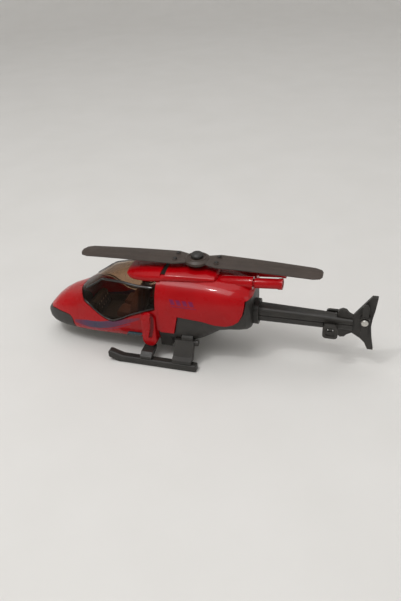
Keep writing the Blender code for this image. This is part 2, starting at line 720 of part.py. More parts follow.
def rear_strut(side, name):
    leg = strut_solid(REAR_FOOT_OUTLINE, REAR_STRUT_X, side, 0.0)
    add(leg, strut_solid(REAR_ROOT_OUTLINE, REAR_ROOT_X, side, 0.0))
    add(leg, foot_peg(REAR_STRUT_X, side))
    y, z = STRUT_KNOB
    add(leg, turned("knob", STRUT_KNOB_PROFILE, (REAR_STRUT_X[0], side * y, z), "x", 16))
    return finish(leg, name, "black_plastic")


def skid(side, name):
    middle = side * SKID_Y
    rail = prism(name, SKID_OUTLINE, "y", middle - SKID_HALF_WIDTH, middle + SKID_HALF_WIDTH)
    bevel(rail, 0.4, 1)
    hole = FOOT_PEG_RADIUS + 0.2
    profile = ((hole, FOOT_PEG_Z[0] - GAP), (hole, BEYOND))
    for x in (FRONT_STRUT_X, REAR_STRUT_X):
        cut(rail, turned("hole", profile, (0.5 * (x[0] + x[1]), middle, 0), count=16))
    return finish(rail, name, "black_plastic")


def capsule(x, z, steps=8):
    radius = 0.5 * (x[1] - x[0])
    middle = 0.5 * (x[0] + x[1])
    points = []
    for centre, start in ((z[1] - radius, 0.0), (z[0] + radius, math.pi)):
        for i in range(steps + 1):
            angle = start + math.pi * i / steps
            points.append((middle + radius * math.cos(angle), centre + radius * math.sin(angle)))
    return points


def gear_fairing(side, name):
    blister = prism(name, capsule(FAIRING_X, FAIRING_Z), "y", side * FAIRING_Y[0], side * FAIRING_Y[1])
    bevel(blister, 1.0, 2, 60.0)
    cut(blister, fuselage(-GAP))
    cut(blister, strut_solid(FRONT_ROOT_OUTLINE, FRONT_ROOT_X, side, GAP))
    return finish(blister, name, "red_plastic")


def chassis_screw(name, x, belly):
    seat_z = belly + COUNTERBORE_DEPTH - GAP
    low = seat_z - 1.3
    profile = (
        (1.3, low), (SCREW_HEAD_RADIUS, low + 0.4), (SCREW_HEAD_RADIUS, seat_z),
        (SCREW_SHANK_RADIUS, seat_z), (SCREW_SHANK_RADIUS, SCREW_END_Z),
    )
    screw = turned(name, profile, (x, 0, 0), count=16)
    for a, b in (CROSS_HALF, CROSS_HALF[::-1]):
        cut(screw, box("cross", (x - a, x + a), (-b, b), (low - 1.0, low + CROSS_DEPTH)))
    return finish(screw, name, "steel")


def build():
    clear_scene()
    body_shell()
    engine_cowling()
    canopy()
    cockpit_tub()
    instrument_panel()
    chassis()
    tail_boom("tail_boom_upper", (BOOM_SEAM_Z + 0.5 * GAP, 40))
    tail_boom("tail_boom_lower", (0, BOOM_SEAM_Z - 0.5 * GAP))
    boom_screw("boom_screw_front", BOOM_SCREW_X[0])
    boom_screw("boom_screw_rear", BOOM_SCREW_X[1])
    tail_fin()
    stabilizer()
    main_rotor()
    rotor_mast()
    mast_bushing()
    rotor_cap()
    tail_rotor()
    tail_rotor_pin()
    chassis_screw("chassis_screw_rear", SCREW_X[0], SCREW_BELLY_Z[0])
    chassis_screw("chassis_screw_front", SCREW_X[1], SCREW_BELLY_Z[1])
    for side, hand in ((1, "left"), (-1, "right")):
        exhaust(side, f"exhaust_{hand}")
        seat(side, f"seat_{hand}")
        end_plate(side, f"end_plate_{hand}")
        skid(side, f"skid_{hand}")
        front_strut(side, f"front_strut_{hand}")
        rear_strut(side, f"rear_strut_{hand}")
        gear_fairing(side, f"gear_fairing_{hand}")


build()
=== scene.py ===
"""Die-cast toy helicopter: finished surfaces, floor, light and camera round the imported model."""
import json
import math

import bmesh
import bpy
from mathutils import Matrix, Vector
from mathutils.bvhtree import BVHTree

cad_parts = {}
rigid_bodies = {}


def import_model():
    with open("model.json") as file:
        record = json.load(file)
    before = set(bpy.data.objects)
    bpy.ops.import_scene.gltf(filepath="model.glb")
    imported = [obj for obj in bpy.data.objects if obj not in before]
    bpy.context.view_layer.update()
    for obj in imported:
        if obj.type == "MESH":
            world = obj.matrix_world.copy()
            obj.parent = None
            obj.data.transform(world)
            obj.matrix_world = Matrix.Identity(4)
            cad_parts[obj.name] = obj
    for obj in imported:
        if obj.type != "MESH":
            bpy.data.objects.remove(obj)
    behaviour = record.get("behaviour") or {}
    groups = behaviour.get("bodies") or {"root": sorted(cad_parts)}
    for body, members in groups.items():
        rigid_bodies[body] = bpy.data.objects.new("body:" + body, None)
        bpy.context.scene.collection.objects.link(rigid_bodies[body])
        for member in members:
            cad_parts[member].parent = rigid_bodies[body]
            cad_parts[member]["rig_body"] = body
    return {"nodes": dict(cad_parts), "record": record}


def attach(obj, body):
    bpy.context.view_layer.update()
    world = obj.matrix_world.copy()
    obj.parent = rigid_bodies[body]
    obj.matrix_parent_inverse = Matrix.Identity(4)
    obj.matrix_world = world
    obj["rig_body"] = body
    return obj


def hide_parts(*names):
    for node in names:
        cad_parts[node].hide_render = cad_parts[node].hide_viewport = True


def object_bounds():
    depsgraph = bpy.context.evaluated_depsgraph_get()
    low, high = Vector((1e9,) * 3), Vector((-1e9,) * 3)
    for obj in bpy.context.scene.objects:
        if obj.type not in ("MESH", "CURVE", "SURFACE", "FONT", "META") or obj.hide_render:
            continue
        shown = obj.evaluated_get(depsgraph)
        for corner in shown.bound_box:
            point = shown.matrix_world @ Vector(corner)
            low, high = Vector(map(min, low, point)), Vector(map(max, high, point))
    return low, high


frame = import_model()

CAD_LOW, CAD_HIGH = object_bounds()
NODES = frame["nodes"]
BODY_OF = {name: obj["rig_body"] for name, obj in NODES.items()}
SLOT_OF = {row["node"]: row["material_slot"] for row in frame["record"]["subparts"]}
CENTRE = (CAD_LOW + CAD_HIGH) / 2
MM = 0.001

# Camera: direction round the model's centre, distance, roll and lens
CAMERA_AZIMUTH = 197.9
CAMERA_ELEVATION = 32.7
CAMERA_DISTANCE = 0.2656
CAMERA_ROLL = -3.1
CAMERA_LENS = 39.0


# ---- node helpers

def new_material(name):
    made = bpy.data.materials.new(name)
    made.use_nodes = True
    made.node_tree.nodes.clear()
    return made


class Nodes:
    """Short calls for building one material's node tree."""

    def __init__(self, made):
        self.tree = made.node_tree

    def add(self, kind, **inputs):
        node = self.tree.nodes.new(kind)
        for key, value in inputs.items():
            self.set(node, key, value)
        return node

    def set(self, node, key, value):
        socket = node.inputs[int(key[1:])] if key[0] == "i" and key[1:].isdigit() else node.inputs[key]
        if isinstance(value, bpy.types.NodeSocket):
            self.tree.links.new(value, socket)
        else:
            socket.default_value = value

    def math(self, operation, a, b=0.0):
        node = self.add("ShaderNodeMath", i0=a, i1=b)
        node.operation = operation
        return node.outputs[0]

    def product(self, first, *others):
        made = first
        for value in others:
            made = self.math("MULTIPLY", made, value)
        return made

    def position(self):
        """The point on the piece, in metres in the model's frame."""
        return self.add("ShaderNodeTexCoord").outputs["Object"]

    def noise(self, scale, detail=3.0, roughness=0.5, vector=None):
        node = self.add("ShaderNodeTexNoise", Scale=scale, Detail=detail, Roughness=roughness)
        self.set(node, "Vector", vector or self.position())
        return node.outputs["Fac"]

    def ramp(self, fac, *stops):
        node = self.add("ShaderNodeValToRGB", Fac=fac)
        elements = node.color_ramp.elements
        while len(elements) < len(stops):
            elements.new(0.5)
        for element, (at, colour) in zip(elements, stops):
            element.position = at
            element.color = colour
        return node.outputs["Color"]

    def remap(self, value, low, high, to_low, to_high):
        node = self.add("ShaderNodeMapRange", i0=value, i1=low, i2=high, i3=to_low, i4=to_high)
        node.clamp = True
        return node.outputs[0]

    def mix(self, fac, a, b):
        node = self.add("ShaderNodeMix")
        node.data_type = "RGBA"
        for index, value in ((0, fac), (6, a), (7, b)):
            if isinstance(value, bpy.types.NodeSocket):
                self.tree.links.new(value, node.inputs[index])
            else:
                node.inputs[index].default_value = value
        return node.outputs[2]

    def bump(self, height, strength, distance):
        node = self.add("ShaderNodeBump", Height=height, Strength=strength, Distance=distance)
        return node.outputs["Normal"]

    def millimetres(self):
        """The point's x, y and z in millimetres."""
        parts = self.add("ShaderNodeSeparateXYZ", Vector=self.position()).outputs
        return [self.math("MULTIPLY", parts[i], 1 / MM) for i in range(3)]

    def output(self, surface):
        self.add("ShaderNodeOutputMaterial", Surface=surface)


def rgb(red, green, blue):
    """A colour from 0-255 display values."""
    def linear(value):
        value /= 255
        return value / 12.92 if value <= 0.04045 else ((value + 0.055) / 1.055) ** 2.4
    return (linear(red), linear(green), linear(blue), 1.0)


# ---- materials

GRAIN = 4600.0
GRAIN_DEPTH = 0.00002


def black_plastic():
    """Satin moulded plastic: fine grain, with slightly rubbed, glossier patches."""
    made = new_material("black_plastic")
    n = Nodes(made)
    broad = n.noise(110.0, 4.0, 0.6)
    rubbed = n.noise(480.0, 5.0, 0.65)
    grain = n.noise(GRAIN, 2.0, 0.5)
    colour = n.mix(n.remap(broad, 0.3, 0.7, 0.0, 1.0), rgb(33, 31, 28), rgb(45, 42, 38))
    rough = n.remap(rubbed, 0.3, 0.7, 0.42, 0.56)
    shader = n.add("ShaderNodeBsdfPrincipled", Roughness=rough, **{"Base Color": colour})
    n.set(shader, "Normal", n.bump(grain, 0.3, GRAIN_DEPTH))
    n.output(shader.outputs[0])
    return made


def rotor_plastic():
    """The blades' browner plastic, with faint flow lines along the blade."""
    made = new_material("rotor_plastic")
    n = Nodes(made)
    along = n.add("ShaderNodeMapping", Vector=n.position(), Scale=(0.08, 1.0, 1.0))
    flow = n.noise(700.0, 4.0, 0.6, along.outputs[0])
    broad = n.noise(80.0, 4.0, 0.6)
    base = n.mix(n.remap(broad, 0.3, 0.7, 0.0, 1.0), rgb(48, 39, 33), rgb(62, 51, 44))
    colour = n.mix(n.remap(flow, 0.35, 0.65, 0.0, 0.35), base, rgb(74, 62, 54))
    rough = n.remap(n.noise(420.0, 5.0, 0.65), 0.3, 0.7, 0.38, 0.52)
    shader = n.add("ShaderNodeBsdfPrincipled", Roughness=rough, **{"Base Color": colour})
    n.set(shader, "Normal", n.bump(n.noise(GRAIN, 2.0), 0.3, GRAIN_DEPTH))
    n.output(shader.outputs[0])
    return made


def band_mask(n, value, middle, half, soft):
    """1 where value is within half of middle, with a soft edge."""
    away = n.math("ABSOLUTE", n.math("SUBTRACT", value, middle))
    return n.remap(n.math("SUBTRACT", away, half), -soft, soft, 1.0, 0.0)


# The shell's prints, dark patch and painted highlight, in millimetres on its sides; a pair of X or Z is a
# middle and a half length
PRINT_SIDE_Y = (8.0, 8.6)
BAND_X = (37.0, 15.4)
BAND_LOW_Z = 11.8
BAND_TURN_X = 40.0
BAND_SLOPE = 0.185
BAND_TURN_LENGTH_SQUARED = 16.0
BAND_TONES = (
    (0.0, rgb(124, 36, 50)), (0.35, rgb(98, 50, 78)), (0.66, rgb(66, 62, 86)), (0.82, rgb(82, 50, 84)),
    (1.0, rgb(122, 40, 66)),
)
LINE_X = (38.5, 12.5)
LINE_DROP = 0.75
LINE_HALF = 0.22
PATCH_X = (25.3, 3.2)
PATCH_Z = (9.6, 1.9)
PATCH_LEAN = 0.6
PATCH_LEAN_Z = 9.5
PAINTED_HIGHLIGHT_Z = (10.4, 0.3)
BARS_X = (3.2, 5.2)
BARS_Z = (28.7, 1.0)
BARS_LEAN = 0.45
BARS_LEAN_Z = 28.6
BARS_START = 2.0
BAR_PITCH = 2.6
RULE_Z = (26.9, 0.16)
BARS_STRENGTH = 0.65


def side_band(n, x, z):
    """The masks of the long side band and of the thin line below it."""
    behind = n.math("SUBTRACT", BAND_TURN_X, x)
    bend = n.math("SQRT", n.math("ADD", n.product(behind, behind), BAND_TURN_LENGTH_SQUARED))
    middle = n.math("ADD", BAND_LOW_Z, n.product(BAND_SLOPE, n.math("ADD", behind, bend)))
    half = n.math("MINIMUM", n.remap(x, 21.5, 34.0, 0.5, 1.9), n.remap(x, 46.0, 52.5, 1.9, 0.7))
    band = n.product(band_mask(n, z, middle, half, 0.12), band_mask(n, x, *BAND_X, 0.15))
    line_middle = n.math("SUBTRACT", middle, n.math("ADD", half, LINE_DROP))
    line = n.product(band_mask(n, z, line_middle, LINE_HALF, 0.08), band_mask(n, x, *LINE_X, 0.15))
    return band, line


def dark_patch(n, x, z):
    """The masks of the leaning patch behind the band and of the painted highlight across it, a lighter
    line.
    """
    slant = n.math("ADD", x, n.product(PATCH_LEAN, n.math("SUBTRACT", z, PATCH_LEAN_Z)))
    patch = n.product(band_mask(n, slant, *PATCH_X, 0.12), band_mask(n, z, *PATCH_Z, 0.12))
    return patch, n.product(patch, band_mask(n, z, *PAINTED_HIGHLIGHT_Z, 0.1))


def panel_bars(n, x, z):
    """The mask of four leaning bars over a rule, high on the engine panel."""
    slant = n.math("SUBTRACT", x, n.product(BARS_LEAN, n.math("SUBTRACT", z, BARS_LEAN_Z)))
    turn = n.math("FRACT", n.math("DIVIDE", n.math("ADD", slant, BARS_START), BAR_PITCH))
    ends = band_mask(n, slant, *BARS_X, 0.05)
    bars = n.product(band_mask(n, turn, 0.5, 0.33, 0.03), band_mask(n, z, *BARS_Z, 0.08), ends)
    return n.math("MAXIMUM", bars, n.product(band_mask(n, z, *RULE_Z, 0.06), ends))


def shell_prints_and_painted_highlight(n, base):
    """The shell's marks over its base colour: printed side band, dark patch with a painted highlight across
    it, and a printed group of bars.
    """
    x, y, z = n.millimetres()
    outside = n.remap(n.math("ABSOLUTE", y), *PRINT_SIDE_Y, 0.0, 1.0)
    band, line = side_band(n, x, z)
    patch, painted_highlight = dark_patch(n, x, z)
    tone = n.ramp(n.remap(x, 21.5, 52.5, 0.0, 1.0), *BAND_TONES)
    colour = n.mix(n.product(band, outside), base, tone)
    colour = n.mix(n.product(line, outside), colour, rgb(124, 46, 76))
    colour = n.mix(n.product(patch, outside), colour, rgb(24, 44, 56))
    # Painted highlight: a lighter teal line across the dark patch
    colour = n.mix(n.product(painted_highlight, outside), colour, rgb(38, 92, 104))
    return n.mix(n.product(panel_bars(n, x, z), outside, BARS_STRENGTH), colour, rgb(88, 28, 84))


# The course of the painted shade in the fairing groove, in millimetres: it curves forward from its top end
# to its low one
GROOVE_TOP_Z = 21.0
GROOVE_LENGTH = 10.4
GROOVE_TOP_X = 15.9
GROOVE_SWING = 1.5
SHADE_HALF = 0.72
SHADE_END_Z = (10.3, 11.0)


def painted_groove_shade(n, base):
    """Painted shade in the fairings' grooves, darker than their rims."""
    x, _, z = n.millimetres()
    fall = n.math("DIVIDE", n.math("SUBTRACT", GROOVE_TOP_Z, z), GROOVE_LENGTH)
    middle = n.math("ADD", GROOVE_TOP_X, n.product(GROOVE_SWING, n.product(fall, fall)))
    across = band_mask(n, n.math("SUBTRACT", x, middle), 0.0, SHADE_HALF, 0.2)
    return n.mix(n.product(across, n.remap(z, *SHADE_END_Z, 0.0, 0.8)), base, rgb(66, 4, 7))


def red_enamel(name, marks=None):
    """Glossy enamel: faint orange peel under a smooth clear coat, with marks over its colour."""
    made = new_material(name)
    n = Nodes(made)
    broad = n.noise(55.0, 3.0, 0.5)
    colour = n.mix(n.remap(broad, 0.35, 0.65, 0.0, 1.0), rgb(158, 1, 9), rgb(174, 3, 13))
    if marks:
        colour = marks(n, colour)
    peel = n.noise(420.0, 1.0, 0.4)
    smudge = n.noise(150.0, 3.0, 0.5)
    shader = n.add("ShaderNodeBsdfPrincipled", Roughness=n.remap(smudge, 0.3, 0.7, 0.24, 0.32),
                   **{"Base Color": colour, "Coat Weight": 0.32, "Coat Roughness": 0.05,
                      "Specular IOR Level": 0.12})
    n.set(shader, "Normal", n.bump(peel, 0.12, 0.00002))
    n.output(shader.outputs[0])
    return made


def smoked_canopy():
    """Clear smoke-tinted plastic: denser where it is seen edge on, with a glossy surface."""
    made = new_material("smoked_canopy")
    n = Nodes(made)
    haze = n.noise(240.0, 4.0, 0.6)
    shader = n.add("ShaderNodeBsdfPrincipled", Roughness=n.remap(haze, 0.3, 0.7, 0.03, 0.08),
                   **{"Base Color": rgb(38, 24, 18), "Coat Weight": 1.0, "Coat Roughness": 0.03})
    clear = n.add("ShaderNodeBsdfTransparent", Color=rgb(232, 220, 208))
    edge = n.add("ShaderNodeLayerWeight", Blend=0.35).outputs["Facing"]
    density = n.math("ADD", n.remap(edge, 0.2, 1.0, 0.08, 0.5), n.remap(haze, 0.3, 0.7, -0.02, 0.02))
    both = n.add("ShaderNodeMixShader", i0=density)
    n.tree.links.new(clear.outputs[0], both.inputs[1])
    n.tree.links.new(shader.outputs[0], both.inputs[2])
    n.output(both.outputs[0])
    return made


def canopy_frame():
    """The canopy's painted ribs: gloss black over the tinted plastic."""
    made = new_material("canopy_frame")
    n = Nodes(made)
    smudge = n.noise(600.0, 4.0, 0.6)
    colour = n.mix(smudge, rgb(16, 11, 9), rgb(28, 20, 16))
    shader = n.add("ShaderNodeBsdfPrincipled", Roughness=n.remap(smudge, 0.3, 0.7, 0.16, 0.28),
                   **{"Base Color": colour, "Coat Weight": 0.6, "Coat Roughness": 0.08})
    n.output(shader.outputs[0])
    return made


def brown_plastic():
    """Matt seat plastic with a fine moulded grain."""
    made = new_material("brown_plastic")
    n = Nodes(made)
    broad = n.noise(150.0, 4.0, 0.6)
    colour = n.mix(n.remap(broad, 0.3, 0.7, 0.0, 1.0), rgb(84, 50, 36), rgb(108, 66, 48))
    shader = n.add("ShaderNodeBsdfPrincipled", Roughness=n.remap(broad, 0.3, 0.7, 0.5, 0.65),
                   **{"Base Color": colour})
    n.set(shader, "Normal", n.bump(n.noise(3800.0, 2.0), 0.4, 0.00003))
    n.output(shader.outputs[0])
    return made


def steel():
    """Bright plated steel with brush marks along the pin."""
    made = new_material("steel")
    n = Nodes(made)
    stretch = n.add("ShaderNodeMapping", Vector=n.position(), Scale=(1.0, 1.0, 0.05))
    brush = n.noise(9000.0, 3.0, 0.6, stretch.outputs[0])
    colour = n.mix(brush, rgb(178, 176, 170), rgb(214, 212, 206))
    shader = n.add("ShaderNodeBsdfPrincipled", Roughness=n.remap(brush, 0.3, 0.7, 0.24, 0.4),
                   Metallic=1.0, **{"Base Color": colour})
    n.set(shader, "Normal", n.bump(brush, 0.2, 0.00002))
    n.output(shader.outputs[0])
    return made


def dial_face():
    """Pale printed paper under the dials' bezels, slightly mottled."""
    made = new_material("dial_face")
    n = Nodes(made)
    speck = n.noise(2500.0, 3.0, 0.6)
    colour = n.mix(speck, rgb(150, 146, 136), rgb(176, 172, 160))
    shader = n.add("ShaderNodeBsdfPrincipled", Roughness=n.remap(speck, 0.3, 0.7, 0.4, 0.55),
                   **{"Base Color": colour})
    n.output(shader.outputs[0])
    return made


MATERIALS = {
    "red_enamel": red_enamel("red_enamel"),
    # Enamel with the shell's prints, a dark patch and a painted highlight
    "printed_enamel": red_enamel("printed_enamel", shell_prints_and_painted_highlight),
    # Enamel with painted shade in the fairings' grooves
    "grooved_enamel": red_enamel("grooved_enamel", painted_groove_shade),
    "smoked_canopy": smoked_canopy(),
    "canopy_frame": canopy_frame(),
    "black_plastic": black_plastic(),
    "rotor_plastic": rotor_plastic(),
    "brown_plastic": brown_plastic(),
    "steel": steel(),
    "dial_face": dial_face(),
}
MATERIALS["red_plastic"] = MATERIALS["red_enamel"]
LOOK_OF = {
    "body_shell": "printed_enamel",
    "gear_fairing_left": "grooved_enamel",
    "gear_fairing_right": "grooved_enamel",
    "main_rotor": "rotor_plastic",
}


# ---- pieces

MERGE_DISTANCE = 2e-6
FLAT_ANGLE = math.radians(0.6)
EDGE_ANGLE = math.radians(30.0)
CURVE_STEPS = 6
GROOVE_SIDES = 14
GROOVE_END = 0.5


def piece(name, mesh, look, body):
    """A new visible piece: its object, material and body."""
    obj = bpy.data.objects.new(name, mesh)
    bpy.context.scene.collection.objects.link(obj)
    mesh.materials.clear()
    mesh.materials.append(MATERIALS[look])
    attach(obj, body)
    return obj


def applied(mesh, tools):
    """A mesh with each tool mesh cut out of it."""
    for tool in tools:
        target = bpy.data.objects.new("target", mesh)
        cutter = bpy.data.objects.new("cutter", tool)
        for obj in (target, cutter):
            bpy.context.scene.collection.objects.link(obj)
        modifier = target.modifiers.new("cut", "BOOLEAN")
        modifier.operation = "DIFFERENCE"
        modifier.solver = "EXACT"
        modifier.object = cutter
        graph = bpy.context.evaluated_depsgraph_get()
        mesh = bpy.data.meshes.new_from_object(target.evaluated_get(graph))
        for obj in (target, cutter):
            bpy.data.objects.remove(obj, do_unlink=True)
    return mesh


def cleaned(mesh):
    """Merge doubled points and remove the edges inside flat faces."""
    work = bmesh.new()
    work.from_mesh(mesh)
    bmesh.ops.remove_doubles(work, verts=work.verts, dist=MERGE_DISTANCE)
    bmesh.ops.dissolve_limit(
        work, angle_limit=FLAT_ANGLE, verts=work.verts, edges=work.edges, use_dissolve_boundaries=False
    )
    bmesh.ops.recalc_face_normals(work, faces=work.faces)
    work.to_mesh(mesh)
    work.free()
    if "custom_normal" in mesh.attributes:
        mesh.attributes.remove(mesh.attributes["custom_normal"])


def soften(obj, width):
    """Smooth faces, with every sharp edge rounded."""
    obj.data.shade_smooth()
    obj.data.set_sharp_from_angle(angle=EDGE_ANGLE)
    modifier = obj.modifiers.new("edges", "BEVEL")
    modifier.width = width
    modifier.segments = 2
    modifier.limit_method = "ANGLE"
    modifier.angle_limit = EDGE_ANGLE
    modifier.harden_normals = True


def finished(node, width, tools=()):
    """A piece that stands for a CAD node: the same shape, with rounded edges and smooth faces."""
    mesh = NODES[node].data.copy()
    if tools:
        cleaned(mesh)
        mesh = applied(mesh, tools)
    mesh.name = node + "_finished"
    cleaned(mesh)
    obj = piece(node + "_finished", mesh, LOOK_OF.get(node, SLOT_OF[node]), BODY_OF[node])
    soften(obj, width)
    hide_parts(node)


def smooth_mesh(name, points, faces, sharp):
    """A closed mesh with its faces pointing out, smooth except at edges over sharp degrees."""
    mesh = bpy.data.meshes.new(name)
    mesh.from_pydata(points, [], faces)
    work = bmesh.new()
    work.from_mesh(mesh)
    bmesh.ops.recalc_face_normals(work, faces=work.faces)
    work.to_mesh(mesh)
    work.free()
    mesh.shade_smooth()
    mesh.set_sharp_from_angle(angle=math.radians(sharp))
    return mesh


def swept(name, path, frames, profile, tapers):
    """A closed mesh that carries a profile along a path; frames are its across and up vectors."""
    points = []
    faces = []
    count = len(profile)
    for place, (across, up), taper in zip(path, frames, tapers):
        points.extend(place + taper * (a * across + b * up) for a, b in profile)
    for ring in range(len(path) - 1):
        for i in range(count):
            j = (i + 1) % count
            low = ring * count
            faces.append((low + i, low + j, low + count + j, low + count + i))
    faces.append(tuple(range(count)))
    faces.append(tuple(len(points) - count + i for i in range(count)))
    return smooth_mesh(name, points, faces, 50.0)


def curve_through(points):
    """Points along a smooth curve through the given ones."""
    points = [Vector(point) * MM for point in points]
    padded = [2 * points[0] - points[1], *points, 2 * points[-1] - points[-2]]
    made = []
    for a, b, c, d in zip(padded, padded[1:], padded[2:], padded[3:]):
        for i in range(CURVE_STEPS):
            t = i / CURVE_STEPS
            made.append(0.5 * (2 * b + (c - a) * t + (2 * a - 5 * b + 4 * c - d) * t ** 2
                               + (3 * b - a - 3 * c + d) * t ** 3))
    return made + [points[-1]]


def tangents(path):
    """The path's direction at each of its points."""
    count = len(path)
    return [(path[min(i + 1, count - 1)] - path[max(i - 1, 0)]).normalized() for i in range(count)]


def groove(route, half_width, depth, normal):
    """A half-round tool along a route on a flat face, to be cut out of a piece."""
    path = curve_through(route)
    up = Vector(normal)
    frames = [(up.cross(tangent).normalized(), up) for tangent in tangents(path)]
    angles = [math.tau * i / GROOVE_SIDES for i in range(GROOVE_SIDES)]
    profile = [(half_width * math.cos(a), depth * math.sin(a)) for a in angles]
    tapers = [GROOVE_END, *[1.0] * (len(path) - 2), GROOVE_END]
    return swept("groove", path, frames, profile, tapers)


# ---- canopy ribs

CABIN_AXIS_Z = 16.0
OVER_SURFACE = 0.03
RIB_REACH = 2.5
RIB_END = 0.55
RIB_PROFILE = (
    (-0.5, -1.2), (-0.5, 0.35), (-0.36, 0.8), (-0.14, 1.0),
    (0.14, 1.0), (0.36, 0.8), (0.5, 0.35), (0.5, -1.2),
)
# Each rib's route over the canopy's left side, its width and its height
RIBS = {
    "windscreen_pillar": (((47.0, 6.2, 26.3), (44.3, 6.8, 28.1), (41.6, 6.9, 30.0),
                           (39.2, 6.5, 31.6)), 0.9, 0.3),
    "roof_rail": (((39.2, 6.5, 31.6), (36.6, 7.7, 32.3), (33.5, 8.5, 32.8), (29.0, 9.3, 32.9),
                   (22.8, 10.2, 32.6), (15.9, 10.4, 32.6)), 1.0, 0.3),
    "sill_rail": (((46.3, 10.9, 23.3), (43.4, 12.2, 21.9), (40.4, 12.6, 19.4), (36.8, 12.8, 17.0),
                   (33.8, 12.9, 16.2), (30.0, 12.9, 17.7), (26.0, 12.9, 19.9), (20.8, 13.0, 22.2),
                   (15.6, 12.9, 24.4)), 0.6, 0.2),
}


def surface_tree(node):
    """A CAD piece's skin, to cast rays at."""
    mesh = NODES[node].data
    return BVHTree.FromPolygons([v.co for v in mesh.vertices], [tuple(p.vertices) for p in mesh.polygons])


def outwards(point):
    """The direction from the cabin's middle line to a point on its skin."""
    return (point - Vector((point.x, 0.0, CABIN_AXIS_Z * MM))).normalized()


def evened(path, rounds):
    """The path with its small kinks smoothed out and its ends kept."""
    for _ in range(rounds):
        middle = [(a + 2 * b + c) / 4 for a, b, c in zip(path, path[1:], path[2:])]
        path = [path[0], *middle, path[-1]]
    return path


def canopy_ribs():
    """The canopy's painted frame, laid on its skin on both sides."""
    tree = surface_tree("canopy")
    for label, (route, width, height) in RIBS.items():
        for hand, side in (("left", 1), ("right", -1)):
            path = []
            for point in curve_through([(x, side * y, z) for x, y, z in route]):
                out = outwards(point)
                found = tree.ray_cast(point + out * OVER_SURFACE, -out)[0]
                if found is not None and (found - point).length < RIB_REACH * MM:
                    path.append(found)
            path = evened(path, 2)
            frames = []
            for point, tangent in zip(path, tangents(path)):
                across = outwards(point).cross(tangent).normalized()
                frames.append((across * width * MM, tangent.cross(across).normalized() * height * MM))
            tapers = [RIB_END, *[1.0] * (len(path) - 2), RIB_END]
            mesh = swept(f"{label}_{hand}", path, frames, RIB_PROFILE, tapers)
            piece(f"{label}_{hand}", mesh, "canopy_frame", BODY_OF["canopy"])


# ---- small fittings

def turned(profile, place, axis, count=24, closed=False):
    """A mesh turned from radius, height points in millimetres; a closed profile makes a ring."""
    turn = Vector((0, 0, 1)).rotation_difference(Vector(axis)).to_matrix()
    points = []
    for radius, height in profile:
        for i in range(count):
            angle = math.tau * i / count
            local = Vector((radius * math.cos(angle), radius * math.sin(angle), height)) * MM
            points.append(Vector(place) * MM + turn @ local)
    faces = []
    if not closed:
        faces = [tuple(range(count)), tuple(len(points) - count + i for i in range(count))]
    for ring in range(len(profile) if closed else len(profile) - 1):
        low = ring * count
        high = (ring + 1) % len(profile) * count
        for i in range(count):
            j = (i + 1) % count
            faces.append((low + i, low + j, high + j, high + i))
    return smooth_mesh("turned", points, faces, 35.0)


def joined(name, meshes, look, node):
    """One piece made of several separate closed meshes, on a CAD piece's body."""
    work = bmesh.new()
    for mesh in meshes:
        work.from_mesh(mesh)
    mesh = bpy.data.meshes.new(name)
    work.to_mesh(mesh)
    work.free()
    piece(name, mesh, look, BODY_OF[node])


# The instrument panel's face, x and z at its low and high edge; rows of dials up it
DIAL_LOW = (42.4, 12.5)
DIAL_HIGH = (43.6, 18.8)
DIAL_ROWS = ((0.78, (-4.4, -2.2, 0.0, 2.2, 4.4), 0.8), (0.42, (-3.3, -1.1, 1.1, 3.3), 0.7))
DIAL_SINK = 0.05


def dials():
    """Bezels and printed faces on the instrument panel's face towards the seats."""
    run = (DIAL_HIGH[0] - DIAL_LOW[0], DIAL_HIGH[1] - DIAL_LOW[1])
    length = math.hypot(*run)
    axis = (-run[1] / length, 0.0, run[0] / length)
    bezels = []
    faces = []
    for share, across, radius in DIAL_ROWS:
        for y in across:
            place = (DIAL_LOW[0] + share * run[0], y, DIAL_LOW[1] + share * run[1])
            bezels.append(turned(((radius, -DIAL_SINK), (radius, 0.18), (radius - 0.1, 0.28),
                                  (radius - 0.22, 0.28), (radius - 0.26, 0.12)), place, axis))
            faces.append(turned(((radius - 0.3, 0.1), (radius - 0.3, 0.15), (radius - 0.36, 0.17)),
                                place, axis))
    joined("dial_bezels", bezels, "black_plastic", "instrument_panel")
    joined("dial_faces", faces, "dial_face", "instrument_panel")


BOLT_X = 8.4
BOLT_Y = 2.3
BOLT_FOOT_Z = 41.85
WASHER = ((1.15, 0.0), (1.15, 0.3), (1.05, 0.38))
BOLT_HEAD = ((0.8, 0.3), (0.8, 0.75), (0.65, 0.88), (0.3, 0.92))
HUB_RING = ((3.3, 42.5), (3.3, 42.72), (3.45, 42.85), (3.75, 42.85), (3.9, 42.72), (3.9, 42.5))


def rotor_fittings():
    """Bolt heads on washers over the blade roots, and a moulded ring on the hub."""
    washers = []
    heads = []
    for x in (BOLT_X, -BOLT_X):
        for y in (BOLT_Y, -BOLT_Y):
            place = (x, y, BOLT_FOOT_Z)
            washers.append(turned(WASHER, place, (0, 0, 1)))
            heads.append(turned(BOLT_HEAD, place, (0, 0, 1), 6))
    joined("blade_washers", washers, "rotor_plastic", "main_rotor")
    joined("blade_bolts", heads, "black_plastic", "main_rotor")
    ring = turned(HUB_RING, (0, 0, 0), (0, 0, 1), 48, closed=True)
    joined("hub_ring", [ring], "rotor_plastic", "main_rotor")


INTAKE_X = 12.0
INTAKE_HALF_WIDTH = 1.0
INTAKE_DEPTH = 0.75
INTAKE_SWEEP = (28.0, 152.0)
INTAKE_STEPS = 40
INTAKE_OVERRUN = 3.0
COWLING_AXIS_Z = 34.0
GRILLE_PROFILE = (
    (-0.95, -0.72), (0.95, -0.72), (0.95, -0.5), (0.76, -0.32), (0.57, -0.5), (0.38, -0.32), (0.19, -0.5),
    (0.0, -0.32), (-0.19, -0.5), (-0.38, -0.32), (-0.57, -0.5), (-0.76, -0.32), (-0.95, -0.5),
)


